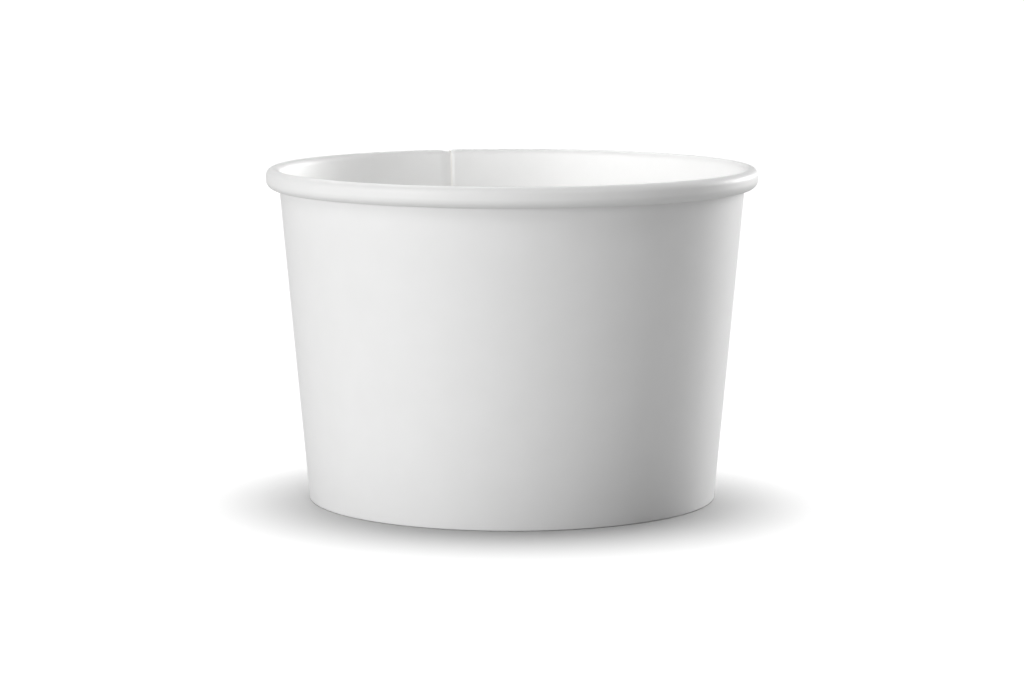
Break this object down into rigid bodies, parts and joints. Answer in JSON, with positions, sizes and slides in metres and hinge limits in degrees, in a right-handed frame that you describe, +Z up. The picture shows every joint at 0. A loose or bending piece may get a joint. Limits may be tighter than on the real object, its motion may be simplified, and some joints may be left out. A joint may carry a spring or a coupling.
{
  "type": "paper sundae cup",
  "caption": "Low tapered paperboard cup with a rolled rim, a lapped side seam and a recessed base disc, for ice cream, sundaes and desserts.",
  "frame": {"origin": "centre of the foot, on the plane the cup stands on", "axes": "+Z up the cup's axis, out of its mouth; the side seam's inner edge lies 16.1 degrees from +Y towards -X"},
  "size_m": [0.09, 0.09, 0.0609],
  "materials": {
    "cup_board": "white bleached board, thin polyethylene coating inside, smooth satin",
    "base_board": "white bleached board, thin polyethylene coating on the food side"
  },
  "bodies": {
    "root": {"side_wall": "cup_board", "base_disc": "base_board"}
  },
  "joints": []
}
